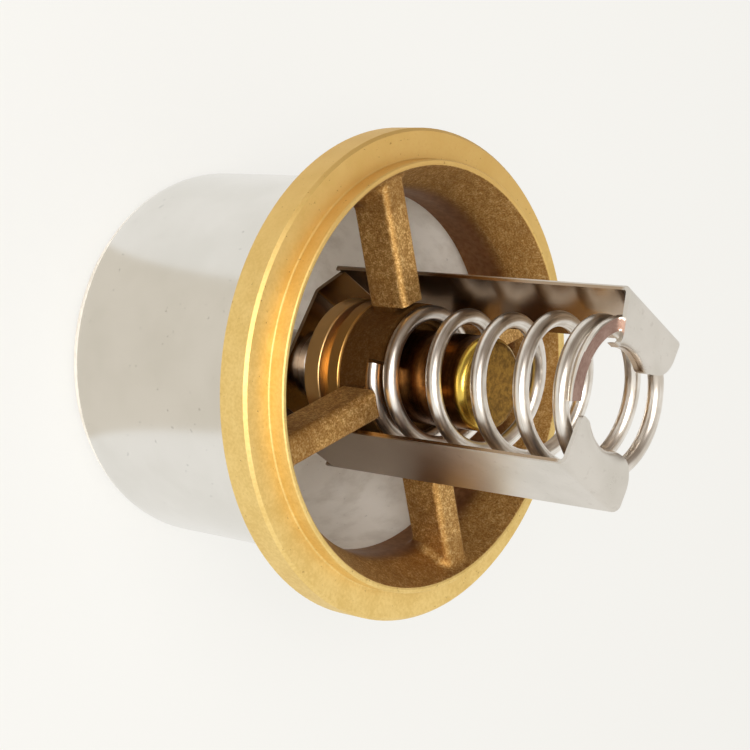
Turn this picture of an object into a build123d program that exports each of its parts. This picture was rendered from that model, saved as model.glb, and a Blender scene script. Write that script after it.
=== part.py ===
from build123d import *
import os
from math import atan2, cos, degrees, hypot, pi, radians, sin

# Sleeve-type engine thermostat. A cast bronze flange carries a wax element and a spring,
# and a drawn steel cup is pushed off the flange when the wax drives the piston out.
# Millimetres. +Z runs along the axis from the cup to the spring, and the cup's flat
# bottom stands on Z = 0. The strap's legs lie on the +Y and the -Y side.

# Cup, the moving valve
cup_radius = 26.55
cup_length = 40.1
cup_wall = 0.6
cup_shoulder = 6.0
cup_rim_edge = 0.3
recess_radius = 11.0
recess_depth = 2.4
recess_bend = 1.0

# Flange casting
flange_radius = 33.35
flange_thickness = 4.5
flange_edge = 0.4
flange_back_edge = 0.1
valve_seat_depth = 0.2
valve_seat_clearance = 0.7
lip_wall = 0.65
lip_height = 2.4
lip_edge = 0.15
lip_foot = 0.25
mouth_flare = 3.6
knee_height = 0.7
knee_bend = 8.0
skirt_wall = 0.7
skirt_length = 4.9
skirt_gap = 0.3
hub_radius = 10.1
hub_rise = 1.2
hub_depth = 7.8
hub_band = 1.7
hub_band_step = 0.25
boss_radius = 8.6
boss_length = 2.0
spoke_count = 4
spoke_width = 4.1
spoke_depth = 6.4
spoke_turn = 48.5
spoke_edge = 0.9
spoke_foot = 1.2
seat_depth = 2.4
seat_clearance = 0.9
seat_wall = 0.9
seat_steps = 18
seat_stop_turn = 3.0

# Spring, with a closed turn at both ends, both ground flat, and the outer turns a little wider
wire_diameter = 2.06
spring_radius = 8.7
spring_end_radius = 9.5
widen_start = 3.0
spring_start = 198.0
inner_rise = 2.97
outer_rise = 2.18
active_turns = 3.5
active_pitch = 7.33
closing_turns = 0.53
closing_rise = 2.7
ground_keep = 0.1
wire_gap = 0.1
points_a_turn = 12

# Strap, one folded sheet
strap_sheet = 0.6
strap_width = 13.8
strap_half_span = 12.33
strap_bend = 0.4
strap_base_half_span = 8.6
ear_width = 0.4
ear_length = 1.1
ear_slit = 0.1
tab_reach = 5.6
tab_corner = 3.8
tab_small_corner = 0.4
tab_slant = 2.2
tab_lip_length = 2.0
tab_lip_bend = 1.4
tab_lip_gap = 0.07

# Wax element
element_radius = 6.3
element_wall = 0.5
element_length = 22.4
element_corner = 1.4
rim_radius = 9.8
rim_wall = 0.5
curl_width = 1.2
boot_flange = 0.7
boot_radius = 3.3
boot_nose = 1.2
guide_flange = 1.0
guide_tube_radius = 3.7
guide_tube_length = 4.1
seal_radius = 2.9
seal_length = 1.0
piston_radius = 2.0
piston_length = 24.0
piston_edge = 0.3
slide_clearance = 0.05
fit_clearance = 0.05

# Stud that ties the strap to the cup
stud_radius = 3.0
stud_head_radius = 4.8
stud_head_height = 1.4
stud_edge = 0.3
stud_gap = 0.3
socket_depth = 2.4
spacer_radius = 4.6
inner_washer_radius = 8.0
inner_washer_thickness = 1.0
outer_washer_radius = 6.5
outer_washer_thickness = 0.6
rivet_radius = 4.2
rivet_height = 1.2

# Heights and radii that follow from the sizes above
flange_back = cup_length - valve_seat_depth
flange_front = flange_back + flange_thickness
lip_front = flange_front + lip_height
skirt_end = flange_back - skirt_length
skirt_radius = cup_radius - cup_wall - skirt_gap
throat_radius = skirt_radius - skirt_wall
mouth_radius = throat_radius + mouth_flare
lip_radius = mouth_radius + lip_wall
knee = flange_back + knee_height
hub_front = flange_front + hub_rise
hub_back = flange_front - hub_depth
boss_end = hub_back - boss_length
seat_height = hub_front - seat_depth

wire_radius = wire_diameter / 2
first_centre = seat_height + ground_keep
active_start = first_centre + inner_rise
active_end = active_start + active_turns * active_pitch
closing_end = active_end + closing_rise
tip_centre = closing_end + outer_rise
spring_top = tip_centre + ground_keep

strap_top = spring_top + strap_sheet
lip_reach = spring_end_radius - wire_radius - tab_lip_gap
tab_lip_radius = lip_reach - tab_lip_bend - strap_sheet
rim_front = boss_end
boot_back = rim_front - rim_wall - boot_flange
guide_back = boot_back - guide_flange
rim_back = guide_back - rim_wall
guide_end = rim_back - guide_tube_length
element_front = rim_front + element_length
element_bore = element_radius - element_wall
rim_bore = rim_radius - rim_wall

stud_top = guide_end - stud_gap
base_front = stud_top - stud_head_height
base_back = base_front - strap_sheet
leg_start = base_back + strap_half_span - strap_base_half_span
recess_floor = recess_depth + cup_wall
spacer_start = recess_floor + inner_washer_thickness
outer_washer_start = recess_depth - outer_washer_thickness
rivet_start = outer_washer_start - rivet_height

piston_start = stud_top - socket_depth
piston_end = piston_start + piston_length
piston_bore = piston_radius + slide_clearance
boot_front = piston_end + slide_clearance + boot_nose

os.makedirs("parts", exist_ok=True)

# Cup: drawn sheet, a round shoulder and a recessed middle for the peened stud
with BuildPart() as valve_cup:
    with BuildSketch(Plane.XZ):
        with BuildLine():
            FilletPolyline(
                (stud_radius + fit_clearance, recess_depth),
                (recess_radius, recess_depth),
                (recess_radius, 0),
                (cup_radius, 0),
                (cup_radius, cup_length),
                radius=[recess_bend, recess_bend, cup_shoulder],
            )
            offset(amount=cup_wall, side=Side.LEFT)
        make_face()
    revolve(axis=Axis.Z)
    rim_circles = valve_cup.edges().group_by(Axis.Z)[-1].sort_by(SortBy.RADIUS)
    chamfer(rim_circles[-1], cup_rim_edge)
valve_cup.part.label = "valve_cup"
export_step(valve_cup.part, "parts/valve_cup.step")


def is_spoke_foot(edge):
    """Tell whether an edge lies where a spoke runs into the ring's bore."""
    middle = edge.position_at(0.5)
    reach = hypot(middle.X, middle.Y)
    spoke_step = 360 / spoke_count
    turn = degrees(atan2(middle.Y, middle.X)) - spoke_turn
    aside = (turn + spoke_step / 2) % spoke_step - spoke_step / 2
    beside = abs(reach * sin(radians(aside))) < spoke_width / 2 + 0.01
    return beside and reach > throat_radius - spoke_edge and middle.Z < hub_front + 0.01


# Flange casting: ring with lip, skirt and bore, the hub, four spokes and the spring's seat
with BuildPart() as flange_casting:
    with BuildSketch(Plane.XZ):
        with BuildLine():
            bore_line = FilletPolyline(
                (mouth_radius, lip_front),
                (throat_radius, knee),
                (throat_radius, skirt_end),
                radius=knee_bend,
            )
            Polyline(
                bore_line @ 0,
                (lip_radius, lip_front),
                (lip_radius, flange_front),
                (flange_radius, flange_front),
                (flange_radius, flange_back),
                (skirt_radius, flange_back),
                (skirt_radius, skirt_end),
                bore_line @ 1,
            )
        make_face()
    revolve(axis=Axis.Z)
    circles = flange_casting.edges().filter_by(GeomType.CIRCLE).sort_by(Axis.Z)
    rim_circles = circles.filter_by(lambda edge: edge.radius > flange_radius - 0.01)
    step_circles = circles.filter_by(lambda edge: abs(edge.radius - lip_radius) < 0.01)
    chamfer(rim_circles[-1], flange_edge)
    chamfer(rim_circles[0], flange_back_edge)
    fillet(step_circles[0], lip_foot)
    chamfer(circles.filter_by(lambda edge: edge.center().Z > lip_front - 0.01), lip_edge)

    # spokes, soft-edged bars from the hub into the ring
    for number in range(spoke_count):
        angle = radians(spoke_turn + 360 / spoke_count * number)
        spoke_plane = Plane(
            origin=(0, 0, hub_front - spoke_depth / 2),
            x_dir=(-sin(angle), cos(angle), 0),
            z_dir=(cos(angle), sin(angle), 0),
        )
        with BuildSketch(spoke_plane.offset(boss_radius)):
            RectangleRounded(spoke_width, spoke_depth, spoke_edge)
        extrude(amount=mouth_radius - boss_radius)

    # the ring's back and the skirt are turned after casting
    with BuildSketch(Plane.XY.offset(skirt_end - 1)):
        Circle(flange_radius)
        Circle(skirt_radius, mode=Mode.SUBTRACT)
    extrude(amount=skirt_length + 1, mode=Mode.SUBTRACT)

    # shallow turned seat that the cup's rim closes on
    with BuildSketch(Plane.XY.offset(flange_back - 1)):
        Circle(cup_radius + valve_seat_clearance)
        Circle(skirt_radius, mode=Mode.SUBTRACT)
    extrude(amount=valve_seat_depth + 1, mode=Mode.SUBTRACT)

    # cast fillets where the spokes run into the bore
    fillet(flange_casting.edges().filter_by(is_spoke_foot), spoke_foot)

    # hub with a turned band at its back and a narrower boss behind it
    with BuildSketch(Plane.XZ):
        with BuildLine():
            Polyline(
                (0, boss_end),
                (boss_radius, boss_end),
                (boss_radius, hub_back),
                (hub_radius, hub_back),
                (hub_radius, hub_back + hub_band),
                (hub_radius - hub_band_step, hub_back + hub_band + hub_band_step),
                (hub_radius - hub_band_step, seat_height),
                (0, seat_height),
                close=True,
            )
        make_face()
    revolve(axis=Axis.Z)

    # round pocket for the spring, cut into the spokes' inner ends
    with BuildSketch(Plane.XY.offset(seat_height)):
        Circle(spring_radius + wire_radius + seat_clearance)
    extrude(amount=seat_depth + 1, mode=Mode.SUBTRACT)

    # past the ground part of the first turn the seat climbs under the wire in steps
    step_turn = (360 - seat_stop_turn) / seat_steps
    ramp_outer = hub_radius - hub_band_step
    ramp_inner = element_radius + seat_wall
    for number in range(1, seat_steps):
        low_turn = spring_start + step_turn * number
        wire_underside = ground_keep + inner_rise * number / seat_steps - wire_radius
        if wire_underside > wire_gap * 2:
            with BuildSketch(Plane.XY.offset(seat_height)):
                with BuildLine():
                    outer_arc = CenterArc((0, 0), ramp_outer, low_turn, step_turn)
                    inner_arc = CenterArc((0, 0), ramp_inner, low_turn, step_turn)
                    Line(inner_arc @ 0, outer_arc @ 0)
                    Line(inner_arc @ 1, outer_arc @ 1)
                make_face()
            extrude(amount=wire_underside - wire_gap)

    # bore for the wax element
    with BuildSketch(Plane.XY.offset(boss_end - 1)):
        Circle(element_radius + fit_clearance)
    extrude(amount=hub_front - boss_end + 2, mode=Mode.SUBTRACT)
flange_casting.part.label = "flange_casting"
export_step(flange_casting.part, "parts/flange_casting.step")


# Return spring: round wire on a helix whose end turns lie close together
def wire_height(turns):
    """Give the height of the wire's centre after so many turns from its inner end."""
    if turns < 1:
        return first_centre + inner_rise * turns
    if turns < 1 + active_turns:
        return active_start + active_pitch * (turns - 1)
    past_active = turns - 1 - active_turns
    if past_active < closing_turns:
        return active_end + closing_rise * past_active / closing_turns
    return closing_end + outer_rise * (past_active - closing_turns)


def wire_reach(turns):
    """Give the wire's distance from the axis, which grows over one turn near its outer end."""
    share = min(max(turns - widen_start, 0), 1)
    return spring_radius + (spring_end_radius - spring_radius) * share**2 * (3 - 2 * share)


with BuildPart() as return_spring:
    with BuildLine() as wire_path:
        wire_points = []
        wire_turns = active_turns + closing_turns + 2
        point_steps = round(points_a_turn * wire_turns)
        for index in range(point_steps + 1):
            turns = wire_turns * index / point_steps
            angle = radians(spring_start) + 2 * pi * turns
            reach = wire_reach(turns)
            wire_points.append((reach * cos(angle), reach * sin(angle), wire_height(turns)))
        Spline(wire_points)
    with BuildSketch(Plane(origin=wire_path.line @ 0, z_dir=wire_path.line % 0)):
        Circle(wire_radius)
    sweep(path=wire_path.line, is_frenet=True)
    # ground flat where the tabs press on the outer end, and on the seat
    with BuildSketch(Plane.XY.offset(spring_top)):
        Circle(spring_end_radius + wire_diameter)
    extrude(amount=wire_diameter * 2, mode=Mode.SUBTRACT)
    with BuildSketch(Plane.XY.offset(seat_height)):
        Circle(spring_radius + wire_diameter)
    extrude(amount=-wire_diameter * 2, mode=Mode.SUBTRACT)
return_spring.part.label = "return_spring"
export_step(return_spring.part, "parts/return_spring.step")

# Strap: one sheet folded into a long U, with two tabs folded in over the spring
with BuildPart() as lift_strap:
    with BuildSketch(Plane.YZ):
        with BuildLine():
            FilletPolyline(
                (tab_reach, strap_top),
                (strap_half_span, strap_top),
                (strap_half_span, leg_start),
                (strap_base_half_span, base_back),
                (-strap_base_half_span, base_back),
                (-strap_half_span, leg_start),
                (-strap_half_span, strap_top),
                (-tab_reach, strap_top),
                radius=strap_bend + strap_sheet,
            )
            offset(amount=strap_sheet, side=Side.RIGHT)
        make_face()
    extrude(amount=strap_width / 2, both=True)

    # the base and its slopes are narrower than the legs
    slope_height = leg_start - base_back + strap_bend
    base_half_width = strap_width / 2 - ear_width - ear_slit
    with BuildSketch(Plane.XY.offset(base_back - 1)):
        Rectangle(strap_width + 2, strap_half_span * 2 + 2)
        Rectangle(base_half_width * 2, strap_half_span * 2 + 4, mode=Mode.SUBTRACT)
    extrude(amount=slope_height + 1, mode=Mode.SUBTRACT)

    # ears, where the legs' edges run on past the bend
    ear_start = leg_start - ear_length
    ear_middle = strap_width / 2 - ear_width / 2
    for side in (1, -1):
        leg_middle = side * (strap_half_span - strap_sheet / 2)
        with BuildSketch(Plane.XY.offset(ear_start)):
            with Locations((ear_middle, leg_middle), (-ear_middle, leg_middle)):
                Rectangle(ear_width, strap_sheet)
        extrude(amount=ear_length + strap_bend)

    # the tabs' corners: round on the +X side, and on the -X side one slanted and one small
    corners = lift_strap.edges().filter_by(Axis.Z)
    corners = corners.filter_by(lambda edge: abs(abs(edge.center().Y) - tab_reach) < 0.01)
    fillet(corners.filter_by(lambda edge: edge.center().X > 0), tab_corner)
    fillet(corners.filter_by(lambda edge: max(edge.center().X, edge.center().Y) < 0), tab_small_corner)
    slant_start = strap_half_span - strap_sheet - strap_bend
    slanted_corner = [
        (-strap_width / 2, slant_start),
        (-strap_width / 2, tab_reach),
        (tab_slant - strap_width / 2, tab_reach),
    ]
    with BuildSketch(Plane.XY.offset(spring_top - 1)):
        with BuildLine():
            Polyline(slanted_corner, close=True)
        make_face()
    extrude(amount=strap_sheet + 2, mode=Mode.SUBTRACT)

    # room for the lip that is formed round the hole between the tabs
    with BuildSketch(Plane.XY.offset(spring_top - 1)):
        Circle(lip_reach)
    extrude(amount=strap_sheet + 2, mode=Mode.SUBTRACT)

    # hole for the stud
    with BuildSketch(Plane.XY.offset(base_back - 1)):
        Circle(stud_radius + fit_clearance)
    extrude(amount=strap_sheet + 2, mode=Mode.SUBTRACT)

# Lip round the hole: the sheet turns down inside the spring and ends with the tabs
lip_end = spring_top - tab_lip_length
with BuildPart() as tab_lip:
    with BuildSketch(Plane.XZ):
        with BuildLine():
            bend_middle = (lip_reach, spring_top - tab_lip_bend)
            outer_bend = CenterArc(bend_middle, strap_sheet + tab_lip_bend, 90, 90)
            inner_bend = CenterArc(bend_middle, tab_lip_bend, 90, 90)
            Line(outer_bend @ 0, inner_bend @ 0)
            Polyline(
                outer_bend @ 1,
                (tab_lip_radius, lip_end),
                (tab_lip_radius + strap_sheet, lip_end),
                inner_bend @ 1,
            )
        make_face()
    revolve(axis=Axis.Z)
    with BuildSketch(Plane.XY.offset(lip_end)) as tab_outlines:
        tab_length = strap_half_span - tab_reach
        tab_middle = tab_reach + tab_length / 2
        with Locations((0, tab_middle), (0, -tab_middle)):
            Rectangle(strap_width, tab_length)
        tips = tab_outlines.vertices().filter_by(lambda point: abs(point.Y) < tab_middle)
        fillet(tips.filter_by(lambda point: point.X > 0), tab_corner)
        small_tip = tab_outlines.vertices().sort_by_distance((-strap_width / 2, -tab_reach))[0]
        fillet(small_tip, tab_small_corner)
        with BuildLine():
            Polyline(slanted_corner, close=True)
        make_face(mode=Mode.SUBTRACT)
    extrude(amount=tab_lip_length + strap_sheet, mode=Mode.INTERSECT)
with lift_strap:
    add(tab_lip.part)
lift_strap.part.label = "lift_strap"
export_step(lift_strap.part, "parts/lift_strap.step")

# Pellet cup: the element's drawn body, its rim crimped round the guide's flange
with BuildPart() as pellet_cup:
    with BuildSketch(Plane.XZ):
        with BuildLine():
            body_line = FilletPolyline(
                (0, element_front),
                (element_radius, element_front),
                (element_radius, rim_front),
                radius=element_corner,
            )
            bore_line = FilletPolyline(
                (0, element_front - element_wall),
                (element_bore, element_front - element_wall),
                (element_bore, rim_front - rim_wall),
                radius=element_corner - element_wall,
            )
            Line(body_line @ 0, bore_line @ 0)
            Polyline(
                body_line @ 1,
                (rim_radius, rim_front),
                (rim_radius, rim_back),
                (rim_radius - curl_width, rim_back),
                (rim_radius - curl_width, guide_back),
                (rim_bore, guide_back),
                (rim_bore, rim_front - rim_wall),
                bore_line @ 1,
            )
        make_face()
    revolve(axis=Axis.Z)
    rim_edges = pellet_cup.edges().filter_by(GeomType.CIRCLE)
    fillet(rim_edges.filter_by(lambda edge: edge.radius > rim_radius - 0.01), rim_wall / 2)
pellet_cup.part.label = "pellet_cup"
export_step(pellet_cup.part, "parts/pellet_cup.step")

# Guide: brass flange and tube that the piston slides in
with BuildPart() as element_guide:
    with BuildSketch(Plane.XY.offset(guide_back)):
        Circle(rim_bore - fit_clearance)
    extrude(amount=guide_flange)
    with BuildSketch(Plane.XY.offset(guide_end)):
        Circle(guide_tube_radius)
    extrude(amount=guide_back - guide_end)
    with BuildSketch(Plane.XY.offset(guide_end)):
        Circle(piston_bore)
    extrude(amount=boot_back - guide_end, mode=Mode.SUBTRACT)
    with BuildSketch(Plane.XY.offset(guide_end)):
        Circle(seal_radius + fit_clearance)
    extrude(amount=seal_length + fit_clearance, mode=Mode.SUBTRACT)
element_guide.part.label = "element_guide"
export_step(element_guide.part, "parts/element_guide.step")

# Seal: ring in the guide's end that wipes the piston
with BuildPart() as guide_seal:
    with BuildSketch(Plane.XY.offset(guide_end)):
        Circle(seal_radius)
        Circle(piston_bore, mode=Mode.SUBTRACT)
    extrude(amount=seal_length)
guide_seal.part.label = "guide_seal"
export_step(guide_seal.part, "parts/guide_seal.step")

# Boot: rubber flange and sleeve between the wax and the piston
with BuildPart() as piston_boot:
    with BuildSketch(Plane.XY.offset(boot_back)):
        Circle(rim_bore - fit_clearance)
    extrude(amount=boot_flange)
    with BuildSketch(Plane.XY.offset(boot_back)):
        Circle(boot_radius)
    extrude(amount=boot_front - boot_back)
    with BuildSketch(Plane.XY.offset(boot_back)):
        Circle(piston_bore)
    extrude(amount=boot_front - boot_nose - boot_back, mode=Mode.SUBTRACT)
piston_boot.part.label = "piston_boot"
export_step(piston_boot.part, "parts/piston_boot.step")

# Wax: fills the pellet cup round and in front of the boot
with BuildPart() as wax_charge:
    wax_start = rim_front - rim_wall + fit_clearance
    wax_end = element_front - element_wall - fit_clearance
    with BuildSketch(Plane.XY.offset(wax_start)):
        Circle(element_bore - fit_clearance)
    extrude(amount=wax_end - wax_start)
    front_edge = wax_charge.edges().sort_by(Axis.Z)[-1]
    fillet(front_edge, element_corner - element_wall)
    with BuildSketch(Plane.XY.offset(wax_start)):
        Circle(boot_radius + fit_clearance)
    extrude(amount=boot_front + fit_clearance - wax_start, mode=Mode.SUBTRACT)
wax_charge.part.label = "wax_charge"
export_step(wax_charge.part, "parts/wax_charge.step")

# Piston: ground pin between the wax boot and the stud
with BuildPart() as piston:
    with BuildSketch(Plane.XY.offset(piston_start)):
        Circle(piston_radius)
    extrude(amount=piston_length)
    chamfer(piston.edges().filter_by(GeomType.CIRCLE), piston_edge)
piston.part.label = "piston"
export_step(piston.part, "parts/piston.step")

# Stud: head over the strap's base, shank through strap, tube and cup, peened end outside
with BuildPart() as centre_stud:
    with BuildSketch(Plane.XY.offset(base_front)):
        Circle(stud_head_radius)
    extrude(amount=stud_head_height)
    chamfer(centre_stud.edges().sort_by(Axis.Z)[-1], stud_edge)
    with BuildSketch(Plane.XY.offset(rivet_start)):
        Circle(stud_radius)
    extrude(amount=base_front - rivet_start)
    with BuildSketch(Plane.XY.offset(rivet_start)):
        Circle(rivet_radius)
    extrude(amount=rivet_height)
    fillet(centre_stud.edges().sort_by(Axis.Z)[0], rivet_height * 2 / 3)
    with BuildSketch(Plane.XY.offset(piston_start)):
        Circle(piston_bore)
    extrude(amount=socket_depth, mode=Mode.SUBTRACT)
centre_stud.part.label = "centre_stud"
export_step(centre_stud.part, "parts/centre_stud.step")

# Tube on the stud that keeps the strap's base off the cup's bottom
with BuildPart() as spacer_tube:
    with BuildSketch(Plane.XY.offset(spacer_start)):
        Circle(spacer_radius)
        Circle(stud_radius + fit_clearance, mode=Mode.SUBTRACT)
    extrude(amount=base_back - spacer_start)
spacer_tube.part.label = "spacer_tube"
export_step(spacer_tube.part, "parts/spacer_tube.step")

# Washers that clamp the cup's bottom, one inside and one under the peened end
with BuildPart() as inner_washer:
    with BuildSketch(Plane.XY.offset(recess_floor)):
        Circle(inner_washer_radius)
        Circle(stud_radius + fit_clearance, mode=Mode.SUBTRACT)
    extrude(amount=inner_washer_thickness)
inner_washer.part.label = "inner_washer"
export_step(inner_washer.part, "parts/inner_washer.step")

with BuildPart() as outer_washer:
    with BuildSketch(Plane.XY.offset(outer_washer_start)):
        Circle(outer_washer_radius)
        Circle(stud_radius + fit_clearance, mode=Mode.SUBTRACT)
    extrude(amount=outer_washer_thickness)
outer_washer.part.label = "outer_washer"
export_step(outer_washer.part, "parts/outer_washer.step")
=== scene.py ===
from math import cos, pi, radians, sin

import bmesh
import bpy
from mathutils import Matrix, Vector


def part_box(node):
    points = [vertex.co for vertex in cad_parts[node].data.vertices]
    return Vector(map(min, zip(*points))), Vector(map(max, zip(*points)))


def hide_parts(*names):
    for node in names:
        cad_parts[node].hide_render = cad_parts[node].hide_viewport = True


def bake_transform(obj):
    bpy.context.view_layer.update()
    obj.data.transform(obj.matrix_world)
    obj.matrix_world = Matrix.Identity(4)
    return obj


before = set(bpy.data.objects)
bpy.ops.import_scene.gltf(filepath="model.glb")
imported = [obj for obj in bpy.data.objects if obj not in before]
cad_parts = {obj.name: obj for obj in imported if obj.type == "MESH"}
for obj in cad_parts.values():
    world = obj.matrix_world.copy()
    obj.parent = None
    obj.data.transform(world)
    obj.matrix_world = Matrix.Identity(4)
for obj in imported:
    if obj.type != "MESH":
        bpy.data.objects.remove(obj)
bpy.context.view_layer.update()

# Lengths below are in millimetres where the name ends in mm, and else in metres
mm = 0.001

# Camera
camera_place = Vector((-0.18156, -0.08046, 0.20883))
camera_aim = Vector((0.0257, 0.0107, 0.01206))
camera_roll = radians(96.75)
camera_lens_mm = 91.5
camera_sensor_mm = 36.0

# Spring wire, as in the casting's seat and under the strap's tabs
wire_diameter = 2.06 * mm
coil_radius = 8.7 * mm
coil_end_radius = 9.5 * mm
widen_start = 3.0
coil_start = radians(198.0)
inner_rise = 2.97 * mm
outer_rise = 2.18 * mm
active_turns = 3.5
closing_turns = 0.53
closing_rise = 2.7 * mm
ground_keep = 0.1 * mm
steps_a_turn = 72
steps_round_wire = 20

# Radii and heights that part the casting's turned faces from its cast ones
bore_mouth_mm = 28.4
throat_mm = 24.2
throat_front_mm = 39.5
band_end_mm = 38.4
boss_reach_mm = 10.5

# Inner reach of the cup's wall
cup_inside_mm = 26.2

# Where the strap's outer faces begin, the heights over which the painted reflection on them and the
# painted shade within the fold run, and where the pellet cup's rim, round corner and end begin
strap_outside_mm = 12.1
strap_reflection_low_mm = 42.0
strap_reflection_high_mm = 66.0
fold_shade_low_mm = 32.0
fold_shade_high_mm = 76.7
rim_front_mm = 34.7
pellet_corner_mm = 55.6
pellet_end_mm = 56.9

# Which way is up in the picture, and on which side of the ring that lies
picture_up = Vector((-0.70, 0.70, 0.17))
ring_top_east = -0.47
ring_top_north = 0.88

# The floor, and the sector of it that glows darker to glossy rays, a painted reflection of a darker
# room in polished metal
floor_reach = 1.6
floor_drop = 0.05 * mm
room_reflection_from = radians(168)
room_reflection_to = radians(242)
room_reflection_reach = 80 * mm
room_reflection_blend = 2 * mm


def screen(red, green, blue):
    """Turn a colour as a screen shows it, in steps of 255, into the light that it gives."""
    light = []
    for step in (red, green, blue):
        share = step / 255
        light.append(share / 12.92 if share <= 0.04045 else ((share + 0.055) / 1.055) ** 2.4)
    return tuple(light)


class Amount:
    """A number from a node. Sums and products with it add Math nodes to the same tree."""

    def __init__(self, nodes, socket):
        self.nodes = nodes
        self.socket = socket

    def maths(self, operation, first, second):
        return self.nodes.add("ShaderNodeMath", {"operation": operation}, {0: first, 1: second})

    def __add__(self, other):
        return self.maths("ADD", self, other)

    def __radd__(self, other):
        return self.maths("ADD", other, self)

    def __sub__(self, other):
        return self.maths("SUBTRACT", self, other)

    def __rsub__(self, other):
        return self.maths("SUBTRACT", other, self)

    def __mul__(self, other):
        return self.maths("MULTIPLY", self, other)

    def __rmul__(self, other):
        return self.maths("MULTIPLY", other, self)

    def __truediv__(self, other):
        return self.maths("DIVIDE", self, other)

    def __pow__(self, other):
        return self.maths("POWER", self, other)


class Nodes:
    """The node tree of one material, or of the world."""

    def __init__(self, tree):
        self.tree = tree
        self.tree.nodes.clear()

    def add(self, kind, settings, sockets, output=0):
        """Add a node, set it up, fill or link its sockets, and return one of its outputs."""
        node = self.tree.nodes.new(kind)
        for name, value in settings.items():
            if name == "stops":
                self.set_stops(node.color_ramp, value)
            else:
                setattr(node, name, value)
        for name, value in sockets.items():
            socket = node.inputs[name]
            if isinstance(value, Amount):
                self.tree.links.new(value.socket, socket)
            elif socket.type == "RGBA":
                socket.default_value = (*value[:3], 1)
            else:
                socket.default_value = value
        return Amount(self, node.outputs[output]) if node.outputs else None

    def set_stops(self, ramp, stops):
        while len(ramp.elements) < len(stops):
            ramp.elements.new(0.5)
        for element, (position, colour) in zip(ramp.elements, stops):
            element.position = position
            element.color = (*colour, 1)

    def place_mm(self):
        """Where a point is on the object, in millimetres."""
        place = self.add("ShaderNodeTexCoord", {}, {}, output="Object")
        return self.add("ShaderNodeVectorMath", {"operation": "SCALE"}, {0: place, "Scale": 1000})

    def split(self, vector):
        parts = self.tree.nodes.new("ShaderNodeSeparateXYZ")
        self.tree.links.new(vector.socket, parts.inputs[0])
        return [Amount(self, socket) for socket in parts.outputs]

    def join(self, x, y, z):
        return self.add("ShaderNodeCombineXYZ", {}, {"X": x, "Y": y, "Z": z})

    def stretch(self, vector, factors):
        return self.add("ShaderNodeVectorMath", {"operation": "MULTIPLY"}, {0: vector, 1: factors})

    def noise(self, vector, scale, detail=2.0, roughness=0.5):
        sockets = {"Vector": vector, "Scale": scale, "Detail": detail, "Roughness": roughness}
        return self.add("ShaderNodeTexNoise", {}, sockets)

    def step(self, amount, low, high):
        """0 below low, 1 above high, and smooth between them."""
        settings = {"interpolation_type": "SMOOTHSTEP"}
        return self.add("ShaderNodeMapRange", settings, {0: amount, 1: low, 2: high, 3: 0.0, 4: 1.0})

    def size(self, amount):
        """The amount without its sign."""
        return self.add("ShaderNodeMath", {"operation": "ABSOLUTE"}, {0: amount})

    def between(self, amount, low, high):
        """Scale an amount of 0 to 1 to run from low to high."""
        return amount * (high - low) + low

    def mix(self, first, second, share):
        """Go from the first colour to the second as the share goes from 0 to 1."""
        settings = {"data_type": "RGBA"}
        return self.add("ShaderNodeMix", settings, {0: share, 6: first, 7: second}, output=2)

    def ramp(self, amount, *stops):
        return self.add("ShaderNodeValToRGB", {"stops": stops}, {0: amount})

    def bump(self, height, depth_mm, below=None):
        sockets = {"Height": height, "Distance": depth_mm * mm, "Strength": 1.0}
        if below:
            sockets["Normal"] = below
        return self.add("ShaderNodeBump", {}, sockets)

    def round_axis(self, place):
        """Straighten what runs round the axis: reach, height, and a slow change round the turn."""
        x, y, z = self.split(place)
        reach = (x * x + y * y) ** 0.5
        return reach, z, x / reach, y / reach

    def surface(self, **sockets):
        named = {name.replace("_", " "): value for name, value in sockets.items()}
        shader = self.add("ShaderNodeBsdfPrincipled", {}, named)
        self.add("ShaderNodeOutputMaterial", {}, {"Surface": shader})


def new_finish(name):
    material = bpy.data.materials.new(name)
    material.use_nodes = True
    return material, Nodes(material.node_tree)


# Finishes

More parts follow.
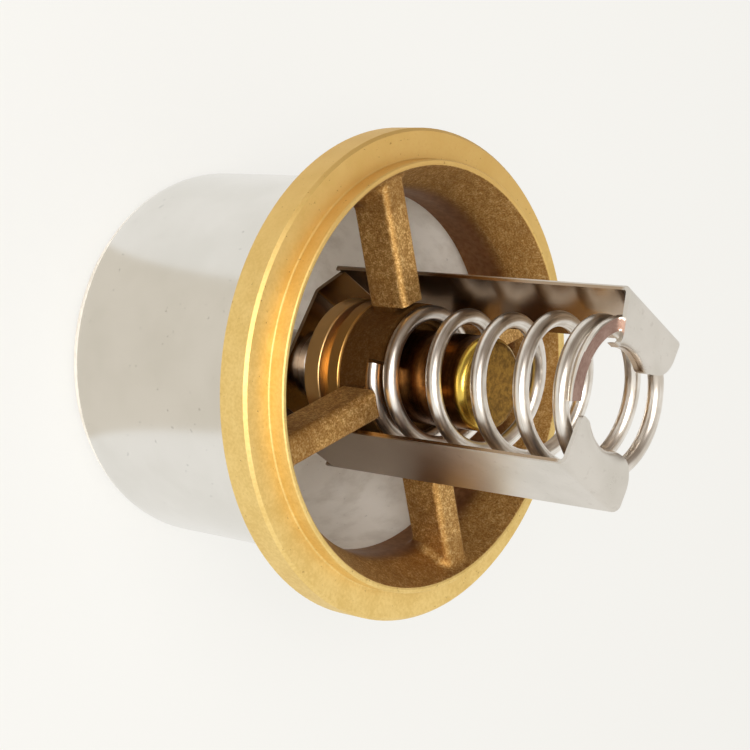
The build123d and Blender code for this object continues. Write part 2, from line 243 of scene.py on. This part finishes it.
def cast_and_turned_bronze():
    """Sand-cast bronze, grainy where it is as cast and smooth gold where it is turned."""
    material, nodes = new_finish("cast_and_turned_bronze")
    place = nodes.place_mm()
    reach, height, east, north = nodes.round_axis(place)

    # where the lathe has been: the ring outside its bore, and the hub's band and back
    ring = nodes.step(reach, bore_mouth_mm, bore_mouth_mm + 0.15)
    band = (1 - nodes.step(reach, boss_reach_mm, boss_reach_mm + 0.1)) * (
        1 - nodes.step(height, band_end_mm, band_end_mm + 0.1))
    turned = ring + band

    # the cast bore, painted a little darker and browner than the spokes as painted shade, and its
    # smoother end at the skirt
    bore_side_shade = nodes.step(reach, throat_mm - 1.0, throat_mm) * (1 - ring)
    throat = nodes.step(reach, throat_mm, throat_mm + 0.2) * (
        1 - nodes.step(height, throat_front_mm, throat_front_mm + 2.5)) * (1 - ring)

    # grain of the sand mould
    fine_grain = nodes.noise(place, 4.0, 3.0, 0.65)
    coarse_grain = nodes.noise(place, 1.3, 2.0, 0.5)
    stain = nodes.noise(place, 0.16, 3.0, 0.55)
    cast_colour = nodes.ramp(
        nodes.step(fine_grain * 0.7 + coarse_grain * 0.3, 0.34, 0.68),
        (0.0, screen(158, 115, 62)),
        (0.6, screen(204, 162, 98)),
        (1.0, screen(238, 206, 146)),
    )
    cast_colour = nodes.mix(cast_colour, screen(140, 98, 54), nodes.step(stain, 0.45, 0.75) * 0.4)
    # painted shade: the hub's sides, deep within the spring and spokes, are painted dark brown
    hub_side_shade = 1 - nodes.step(reach, boss_reach_mm, boss_reach_mm + 0.3)
    cast_colour = nodes.mix(cast_colour, screen(96, 58, 20), hub_side_shade * 0.8)
    # painted shade on the cast bore
    cast_colour = nodes.mix(cast_colour, screen(140, 98, 46), bore_side_shade * 0.35)
    throat_colour = nodes.ramp(
        nodes.step(coarse_grain, 0.3, 0.7),
        (0.0, screen(142, 100, 66)),
        (1.0, screen(162, 118, 82)),
    )
    cast_colour = nodes.mix(cast_colour, throat_colour, throat)

    # turned faces: fine mottling, a few pits and the lathe's lines
    mottle = nodes.noise(place, 2.4, 4.0, 0.6)
    cloud = nodes.noise(place, 0.3, 3.0, 0.5)
    speck = nodes.step(nodes.noise(place, 1.7, 2.0, 0.5), 0.70, 0.76)
    turned_colour = nodes.ramp(
        nodes.step(mottle * 0.6 + cloud * 0.4, 0.32, 0.68),
        (0.0, screen(221, 189, 114)),
        (1.0, screen(236, 208, 138)),
    )
    # painted shade: the turned faces are painted browner on the side that is up in the picture, where
    # they mirror the darker room
    upper_side_shade = nodes.step(east * ring_top_east + north * ring_top_north, 0.0, 1.2)
    turned_colour = nodes.mix(turned_colour, screen(208, 163, 88), upper_side_shade * (mottle + 0.1))
    turned_colour = nodes.mix(turned_colour, screen(150, 108, 52), speck * 0.6)
    # painted shade: the hub's turned band, deep within the spring, is painted dark brown
    turned_colour = nodes.mix(turned_colour, screen(150, 102, 44), band * 0.85)
    lines_place = nodes.join(reach * 6.0, height * 6.0, east * 2.0 + north)
    lines = nodes.noise(lines_place, 1.0, 3.0, 0.7)

    colour = nodes.mix(cast_colour, turned_colour, turned)
    cast_rough = nodes.between(fine_grain, 0.5, 0.7) * (1 - throat) + throat * 0.42
    turned_rough = nodes.between(mottle, 0.5, 0.64) - band * 0.26
    roughness = cast_rough * (1 - turned) + turned_rough * turned
    grain_height = (fine_grain * 0.5 + coarse_grain * 0.8) * (1 - throat)
    normal = nodes.bump(grain_height * (1 - turned) + (lines * 0.1 + mottle * 0.12) * turned, 0.1)
    metal = 1 - turned * 0.2
    nodes.surface(Base_Color=colour, Metallic=metal, Roughness=roughness, Normal=normal)
    return material


def drawn_cup_steel():
    """Stainless sheet drawn into a cup: satin outside, duller inside and painted nearly white there as
    painted light, with faint marks round it.
    """
    material, nodes = new_finish("drawn_cup_steel")
    place = nodes.place_mm()
    reach, height, east, north = nodes.round_axis(place)
    marks = nodes.noise(nodes.join(reach * 3.0, height * 3.0, east * 3.0 + north * 2.0), 1.0, 3.0, 0.6)
    cloud = nodes.noise(place, 0.09, 3.0, 0.5)
    pits = nodes.step(nodes.noise(place, 1.3, 2.0, 0.5), 0.70, 0.76)
    scale_marks = nodes.noise(place, 0.22, 5.0, 0.6)
    inside = 1 - nodes.step(reach, cup_inside_mm, cup_inside_mm + 0.1)
    colour = nodes.ramp(
        nodes.step(cloud, 0.3, 0.7),
        (0.0, screen(229, 226, 220)),
        (1.0, screen(236, 233, 228)),
    )
    scaled = nodes.step(scale_marks, 0.42, 0.72) * 0.4
    # painted light: inside, the steel is painted nearly white and made nearly non-metallic, standing in
    # for light on its inner walls
    inside_painted_light = nodes.mix(screen(252, 247, 239), screen(196, 186, 172), scaled)
    colour = nodes.mix(colour, inside_painted_light, inside)
    colour = nodes.mix(colour, screen(150, 146, 140), pits * 0.25)
    roughness = nodes.between(cloud * 0.6 + marks * 0.4, 0.16, 0.26) + inside * 0.2
    metal = 1 - inside * 0.9
    normal = nodes.bump(marks, 0.006)
    nodes.surface(Base_Color=colour, Metallic=metal, Roughness=roughness, Normal=normal)
    return material


def strap_steel():
    """Stainless strip with rolling lines along it: satin outside, and painted darker and browner within
    the fold, a painted shade and painted reflection of the bronze.
    """
    material, nodes = new_finish("strap_steel")
    place = nodes.place_mm()
    across, height = nodes.split(place)[1:]
    outside = nodes.step(nodes.size(across), strap_outside_mm, strap_outside_mm + 0.1)
    lines = nodes.noise(nodes.stretch(place, (5.0, 5.0, 0.25)), 1.0, 3.0, 0.6)
    cloud = nodes.noise(place, 0.2, 3.0, 0.5)
    grime = nodes.noise(place, 0.8, 4.0, 0.6)
    satin = nodes.ramp(
        nodes.step(cloud, 0.3, 0.7),
        (0.0, screen(212, 206, 197)),
        (1.0, screen(222, 216, 208)),
    )
    # painted shade and painted reflection: within the fold the strip is painted dark brown, darkest low
    # down near its base
    fold_shade_colour = nodes.ramp(
        nodes.step(height, fold_shade_low_mm, fold_shade_high_mm),
        (0.0, screen(152, 132, 112)),
        (1.0, screen(174, 152, 128)),
    )
    # painted reflection: the outer faces are painted brown low down, standing in for the ring and hub
    # mirrored in them
    ring_reflection = 1 - nodes.step(height, strap_reflection_low_mm, strap_reflection_high_mm)
    satin = nodes.mix(satin, screen(150, 130, 110), ring_reflection * 0.8)
    tab = nodes.step(height, fold_shade_high_mm - 0.8, fold_shade_high_mm)
    colour = nodes.mix(fold_shade_colour, satin, outside + tab * (1 - outside))
    colour = nodes.mix(colour, screen(168, 158, 146), nodes.step(grime, 0.55, 0.8) * 0.35)
    roughness = nodes.between(lines * 0.5 + cloud * 0.5, 0.14, 0.24) + outside * 0.14 + tab * 0.1
    normal = nodes.bump(lines, 0.004)
    nodes.surface(Base_Color=colour, Metallic=1.0, Roughness=roughness, Normal=normal)
    return material


def spring_wire_steel(name, along, dark, light, low_rough, high_rough):
    """Drawn wire: lines along its length. Its place is given along the straightened wire."""
    material, nodes = new_finish(name)
    straight = nodes.add(
        "ShaderNodeAttribute", {"attribute_name": "straight_wire"}, {}, output="Vector")
    lines = nodes.noise(nodes.stretch(straight, (along, 4.0, 4.0)), 1.0, 3.0, 0.6)
    cloud = nodes.noise(straight, 0.3, 2.0, 0.5)
    colour = nodes.ramp(nodes.step(cloud * 0.5 + lines * 0.5, 0.35, 0.65), (0.0, dark), (1.0, light))
    roughness = nodes.between(lines, low_rough, high_rough)
    normal = nodes.bump(lines, 0.014)
    nodes.surface(Base_Color=colour, Metallic=1.0, Roughness=roughness, Normal=normal)
    return material


def pellet_copper():
    """Drawn copper alloy of the wax element: its side painted dark brown as a painted reflection of the
    bronze around it, a polished corner painted bright as a partly painted highlight, and a matte olive
    end.
    """
    material, nodes = new_finish("pellet_copper")
    place = nodes.place_mm()
    reach, height, east, north = nodes.round_axis(place)
    grain = nodes.noise(place, 1.8, 4.0, 0.6)
    marks = nodes.noise(nodes.join(reach * 3.0, height * 3.0, east * 2.0 + north), 1.0, 3.0, 0.6)
    corner = nodes.step(height, pellet_corner_mm - 0.4, pellet_corner_mm)
    end_face = nodes.step(height, pellet_end_mm - 0.25, pellet_end_mm - 0.05)
    # painted reflection: the side is painted dark brown, standing in for the bronze hub and coil
    # mirrored in it
    side_reflection_colour = nodes.ramp(
        nodes.step(marks * 0.5 + grain * 0.5, 0.35, 0.65),
        (0.0, screen(96, 62, 30)),
        (1.0, screen(136, 92, 46)),
    )
    end_colour = nodes.ramp(
        nodes.step(grain, 0.3, 0.7),
        (0.0, screen(118, 86, 36)),
        (1.0, screen(168, 128, 56)),
    )
    rim = 1 - nodes.step(height, rim_front_mm, rim_front_mm + 0.1)
    colour = nodes.mix(side_reflection_colour, screen(224, 184, 124), rim)
    # partly painted highlight: the round corner is polished brass, painted brighter to stand in for the
    # light it catches
    colour = nodes.mix(colour, screen(224, 190, 88), corner)
    colour = nodes.mix(colour, end_colour, end_face)
    roughness = nodes.between(marks, 0.2, 0.3) + end_face * 0.2 + rim * 0.15
    normal = nodes.bump(grain * 0.3 + marks * 0.1, 0.04)
    nodes.surface(Base_Color=colour, Metallic=1.0, Roughness=roughness, Normal=normal)
    return material


def turned_metal(name, dark, light, low_rough, high_rough):
    """Metal off the lathe: fine lines round the axis."""
    material, nodes = new_finish(name)
    place = nodes.place_mm()
    reach, height, east, north = nodes.round_axis(place)
    lines = nodes.noise(nodes.join(reach * 7.0, height * 7.0, east + north), 1.0, 3.0, 0.7)
    cloud = nodes.noise(place, 0.4, 3.0, 0.5)
    colour = nodes.ramp(nodes.step(cloud, 0.3, 0.7), (0.0, dark), (1.0, light))
    roughness = nodes.between(lines, low_rough, high_rough)
    normal = nodes.bump(lines, 0.01)
    nodes.surface(Base_Color=colour, Metallic=1.0, Roughness=roughness, Normal=normal)
    return material


def soft_filling(name, dark, light, grain_scale, rough):
    """Moulded rubber or wax: a fine mottled skin."""
    material, nodes = new_finish(name)
    place = nodes.place_mm()
    grain = nodes.noise(place, grain_scale, 3.0, 0.6)
    colour = nodes.ramp(nodes.step(grain, 0.3, 0.7), (0.0, dark), (1.0, light))
    roughness = nodes.between(grain, rough - 0.08, rough + 0.08)
    normal = nodes.bump(grain, 0.03)
    nodes.surface(Base_Color=colour, Roughness=roughness, Normal=normal)
    return material


def wear(node, *materials):
    """Give a CAD node its finish in place of the plain one it came with."""
    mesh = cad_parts[node].data
    mesh.materials.clear()
    for material in materials:
        mesh.materials.append(material)


def dress_nodes():
    wear("flange_casting", cast_and_turned_bronze())
    wear("valve_cup", drawn_cup_steel())
    wear("lift_strap", strap_steel())
    wear("pellet_cup", pellet_copper())
    wear("element_guide", turned_metal(
        "guide_brass", screen(196, 158, 84), screen(222, 186, 112), 0.2, 0.34))
    wear("piston", turned_metal(
        "ground_piston_steel", screen(196, 195, 193), screen(214, 213, 211), 0.1, 0.2))
    turned_steel = turned_metal(
        "turned_steel", screen(176, 172, 166), screen(206, 202, 196), 0.24, 0.4)
    for node in ("centre_stud", "spacer_tube", "inner_washer", "outer_washer"):
        wear(node, turned_steel)
    rubber = soft_filling("seal_rubber", screen(34, 33, 32), screen(52, 50, 48), 2.2, 0.6)
    wear("guide_seal", rubber)
    wear("piston_boot", rubber)
    wear("wax_charge", soft_filling(
        "copper_filled_wax", screen(178, 120, 74), screen(214, 160, 110), 3.0, 0.5))


# Spring

def wire_height(turns, seat, active_pitch):
    """Height of the wire's centre after so many turns from its inner end."""
    first = seat + ground_keep
    if turns < 1:
        return first + inner_rise * turns
    if turns < 1 + active_turns:
        return first + inner_rise + active_pitch * (turns - 1)
    active_end = first + inner_rise + active_pitch * active_turns
    past_active = turns - 1 - active_turns
    if past_active < closing_turns:
        return active_end + closing_rise * past_active / closing_turns
    return active_end + closing_rise + outer_rise * (past_active - closing_turns)


def wire_centre(turns, seat, active_pitch):
    """Place of the wire's centre. Its distance from the axis grows near the outer end."""
    share = min(max(turns - widen_start, 0), 1)
    reach = coil_radius + (coil_end_radius - coil_radius) * share**2 * (3 - 2 * share)
    angle = coil_start + 2 * pi * turns
    return Vector((reach * cos(angle), reach * sin(angle), wire_height(turns, seat, active_pitch)))


def make_spring():
    """Wind the wire as one closed tube and grind its two ends flat."""
    spring_low, spring_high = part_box("return_spring")
    seat = spring_low.z
    top = spring_high.z
    end_rises = inner_rise + closing_rise + outer_rise
    active_pitch = (top - seat - 2 * ground_keep - end_rises) / active_turns
    wire_radius = wire_diameter / 2
    all_turns = active_turns + closing_turns + 2
    # the wire's direction is taken, and its kinks are rounded, over this many turns to each side
    half_blend = 0.06
    on_plane = 1e-7

    shell = bmesh.new()
    straight = shell.verts.layers.float_vector.new("straight_wire")
    rings = []
    ring_steps = round(steps_a_turn * all_turns)
    for index in range(ring_steps + 1):
        turns = all_turns * index / ring_steps
        centre = wire_centre(turns, seat, active_pitch)
        before = wire_centre(turns - half_blend, seat, active_pitch)
        after = wire_centre(turns + half_blend, seat, active_pitch)
        centre.z = (before.z + after.z) / 2
        along = (after - before).normalized()
        across = Vector((centre.x, centre.y, 0)).cross(along).normalized()
        out = along.cross(across)
        ring = []
        for number in range(steps_round_wire):
            turn = 2 * pi * number / steps_round_wire
            place = centre + wire_radius * (cos(turn) * out + sin(turn) * across)
            place.z = min(max(place.z, seat), top)
            vertex = shell.verts.new(place)
            wire_length_mm = turns * 2 * pi * coil_radius / mm
            vertex[straight] = (wire_length_mm, cos(turn), sin(turn))
            ring.append(vertex)
        rings.append(ring)

    for first, second in zip(rings, rings[1:]):
        for number in range(steps_round_wire):
            following = (number + 1) % steps_round_wire
            face = shell.faces.new((first[number], first[following], second[following], second[number]))
            face.smooth = True
    shell.faces.new(list(reversed(rings[0])))
    shell.faces.new(rings[-1])
    for face in shell.faces:
        heights = [vertex.co.z for vertex in face.verts]
        ground = max(heights) <= seat + on_plane or min(heights) >= top - on_plane
        face.material_index = 1 if ground or len(heights) > 4 else 0
    bmesh.ops.recalc_face_normals(shell, faces=shell.faces)

    mesh = bpy.data.meshes.new("wound_spring")
    shell.to_mesh(mesh)
    shell.free()
    mesh.set_sharp_from_angle(angle=radians(35))
    mesh.materials.append(spring_wire_steel(
        "spring_wire", 0.12, screen(206, 196, 184), screen(246, 241, 234), 0.24, 0.36))
    mesh.materials.append(spring_wire_steel(
        "ground_wire_end", 2.0, screen(148, 118, 106), screen(176, 148, 136), 0.46, 0.6))
    spring = bpy.data.objects.new("wound_spring", mesh)
    bpy.context.scene.collection.objects.link(spring)
    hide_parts("return_spring")
    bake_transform(spring)


# Surroundings

def make_floor():
    """Wide pale floor that the cup stands on. It is nearly white to the camera but keeps shadows, and
    to glossy rays a sector near the cup glows darker, a painted reflection of a darker room.
    """
    shell = bmesh.new()
    bmesh.ops.create_circle(shell, cap_ends=True, segments=96, radius=floor_reach)
    mesh = bpy.data.meshes.new("studio_floor")
    shell.to_mesh(mesh)
    shell.free()
    material, nodes = new_finish("pale_floor")
    pale = screen(243, 242, 238)
    place = nodes.add("ShaderNodeTexCoord", {}, {}, output="Object")
    x, y = nodes.split(place)[:2]
    past_start = y * cos(room_reflection_from) - x * sin(room_reflection_from)
    before_end = x * sin(room_reflection_to) - y * cos(room_reflection_to)
    reach = (x * x + y * y) ** 0.5
    near = 1 - nodes.step(reach, room_reflection_reach, room_reflection_reach + room_reflection_blend)
    # painted reflection: this sector glows darker to glossy rays, standing in for a darker room towards
    # the camera
    room_reflection_part = nodes.step(past_start, 0, room_reflection_blend) * near
    room_reflection_part = room_reflection_part * nodes.step(before_end, 0, room_reflection_blend)
    mirrored = nodes.mix(pale, screen(224, 218, 206), room_reflection_part)
    paper = nodes.add("ShaderNodeBsdfDiffuse", {}, {"Color": pale})
    glow = nodes.add("ShaderNodeEmission", {}, {"Color": pale, "Strength": 1.0})
    mirrored_glow = nodes.add("ShaderNodeEmission", {}, {"Color": mirrored, "Strength": 1.0})
    seen = nodes.add("ShaderNodeLightPath", {}, {}, output="Is Camera Ray")
    glossy = nodes.add("ShaderNodeLightPath", {}, {}, output="Is Glossy Ray")
    shader = nodes.add("ShaderNodeMixShader", {}, {0: seen * 0.8, 1: paper, 2: glow})
    shader = nodes.add("ShaderNodeMixShader", {}, {0: glossy, 1: shader, 2: mirrored_glow})
    nodes.add("ShaderNodeOutputMaterial", {}, {"Surface": shader})
    mesh.materials.append(material)
    floor = bpy.data.objects.new("studio_floor", mesh)
    floor.location.z = -floor_drop
    bpy.context.scene.collection.objects.link(floor)


def make_lamp(name, place, aim, size, power, colour):
    lamp = bpy.data.lights.new(name, "AREA")
    lamp.shape = "DISK"
    lamp.size = size
    lamp.energy = power
    lamp.color = colour
    holder = bpy.data.objects.new(name, lamp)
    holder.location = place
    holder.rotation_euler = (Vector(aim) - Vector(place)).to_track_quat("-Z", "Y").to_euler()
    bpy.context.scene.collection.objects.link(holder)


def light_studio():
    """White table and paper below the object in the picture, and a darker warm room above."""
    scene = bpy.context.scene
    scene.world = bpy.data.worlds.new("studio_room")
    scene.world.use_nodes = True
    nodes = Nodes(scene.world.node_tree)
    direction = nodes.add("ShaderNodeTexCoord", {}, {}, output="Generated")
    upward = nodes.add(
        "ShaderNodeVectorMath", {"operation": "DOT_PRODUCT"},
        {0: direction, 1: picture_up.normalized()}, output="Value")
    room = nodes.step(upward, 0.05, 0.5)
    seen = nodes.add("ShaderNodeLightPath", {}, {}, output="Is Camera Ray")
    unseen = nodes.mix(screen(243, 242, 238), screen(138, 126, 114), room)
    shade = nodes.mix(unseen, screen(248, 247, 243), seen)
    background = nodes.add("ShaderNodeBackground", {}, {"Color": shade, "Strength": 1.0})
    nodes.add("ShaderNodeOutputWorld", {}, {"Surface": background})

    warm_white = (1.0, 0.98, 0.95)
    soft_white = (1.0, 0.99, 0.97)
    make_lamp("overhead_softbox", (-0.6, 0.06, 0.66), (0, 0, 0.04), 0.4, 1.0, warm_white)
    make_lamp("window_light", (-0.36, 0.0, 0.72), (0, 0, 0.02), 0.3, 0.7, soft_white)
    make_lamp("front_softbox", (-0.42, -0.19, 0.48), (0, 0, 0.03), 0.3, 2.7, soft_white)


def place_camera():
    lens = bpy.data.cameras.new("photo_camera")
    lens.lens = camera_lens_mm
    lens.sensor_width = camera_sensor_mm
    lens.sensor_fit = "HORIZONTAL"
    lens.clip_start = 0.01
    lens.clip_end = 20
    camera = bpy.data.objects.new("photo_camera", lens)
    look = (camera_aim - camera_place).to_track_quat("-Z", "Y").to_matrix().to_4x4()
    camera.matrix_world = Matrix.Translation(camera_place) @ look @ Matrix.Rotation(camera_roll, 4, "Z")
    bpy.context.scene.collection.objects.link(camera)
    bpy.context.scene.camera = camera


place_camera()
light_studio()
make_floor()
dress_nodes()
make_spring()
bpy.context.scene.view_settings.view_transform = "Standard"
